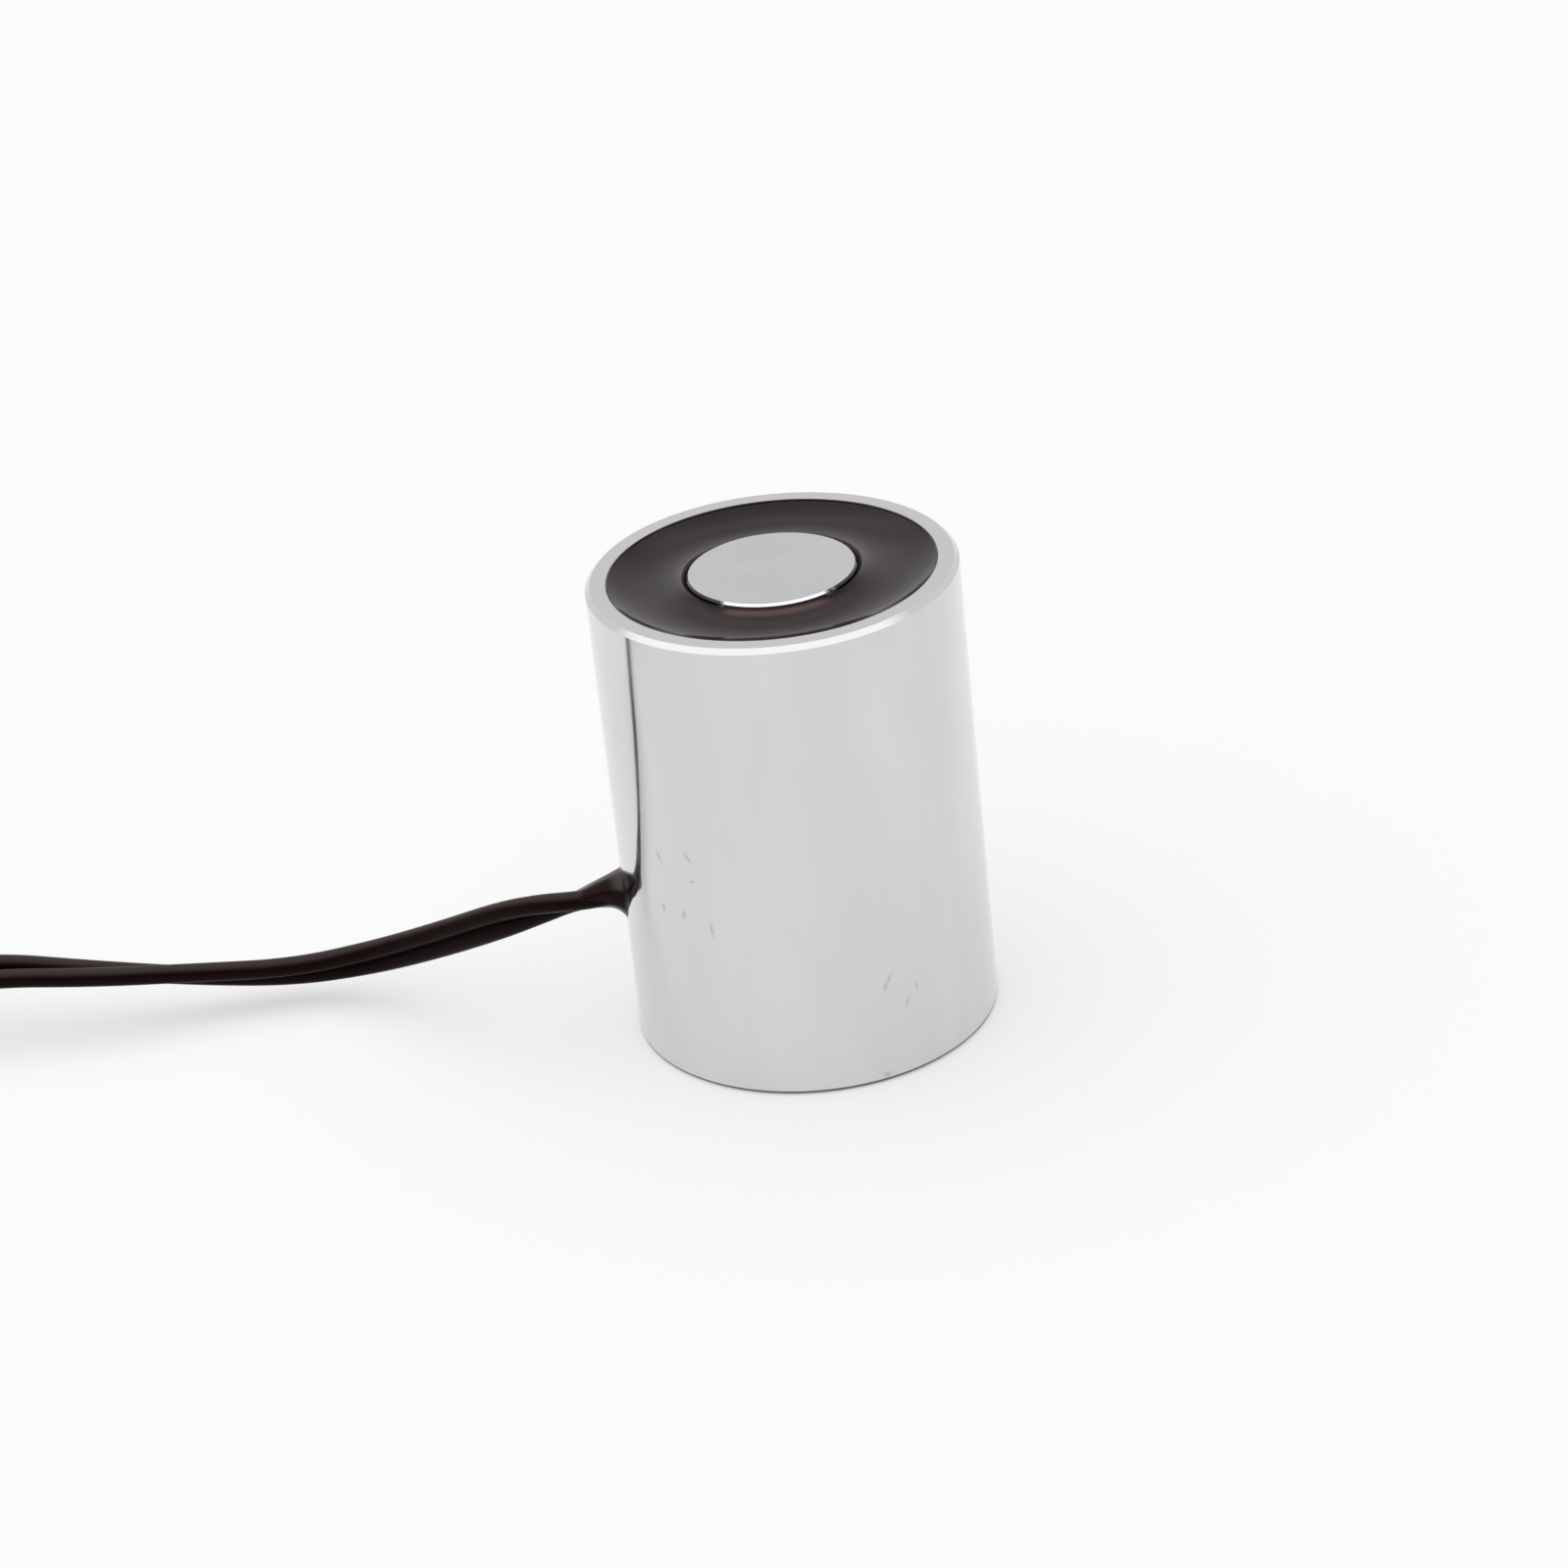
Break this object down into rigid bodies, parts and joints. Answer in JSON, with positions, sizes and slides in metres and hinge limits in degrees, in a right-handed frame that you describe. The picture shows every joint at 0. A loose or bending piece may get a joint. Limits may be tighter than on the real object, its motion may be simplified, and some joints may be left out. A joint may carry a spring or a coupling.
{
  "type": "holding electromagnet",
  "caption": "Round pot-shaped holding electromagnet with a plated steel cup, central pole, potted coil, tapped back and flexible leads out of its side.",
  "frame": {"origin": "centre of the round mounting face at the back of the magnet, where it stands", "axes": "+Z from the mounting face to the pole face, -X towards the side where the leads leave"},
  "size_m": [0.1381, 0.0337, 0.04],
  "materials": {
    "plated_steel": "bright nickel plate over turned and polished steel",
    "turned_steel": "faced steel with fine concentric turning marks",
    "bobbin_nylon": "moulded glass-filled nylon, natural",
    "enamelled_copper": "enamelled copper wire",
    "polyester_tape": "yellow polyester film tape",
    "solder": "tinned strands and solder",
    "sleeve": "black shrink sleeve",
    "epoxy": "glossy cast epoxy, black-brown",
    "seal_glue": "glossy drawn-out glue, black-brown",
    "lead_pvc": "smooth extruded PVC, black-brown",
    "tie_nylon": "moulded black nylon"
  },
  "bodies": {
    "root": {"housing": "plated_steel", "core": "turned_steel", "bobbin": "bobbin_nylon", "winding": "enamelled_copper", "winding_tape": "polyester_tape", "start_wire": "enamelled_copper", "finish_wire": "enamelled_copper", "solder_joint_a": "solder", "solder_joint_b": "solder", "joint_sleeve_a": "sleeve", "joint_sleeve_b": "sleeve", "lead_a_inner_end": "solder", "lead_b_inner_end": "solder", "potting": "epoxy", "lead_seal": "seal_glue", "lead_a": "lead_pvc", "lead_b": "lead_pvc", "lead_coil": "lead_pvc", "lead_a_tinned_end": "solder", "lead_b_tinned_end": "solder", "coil_tie": "tie_nylon"}
  },
  "joints": []
}
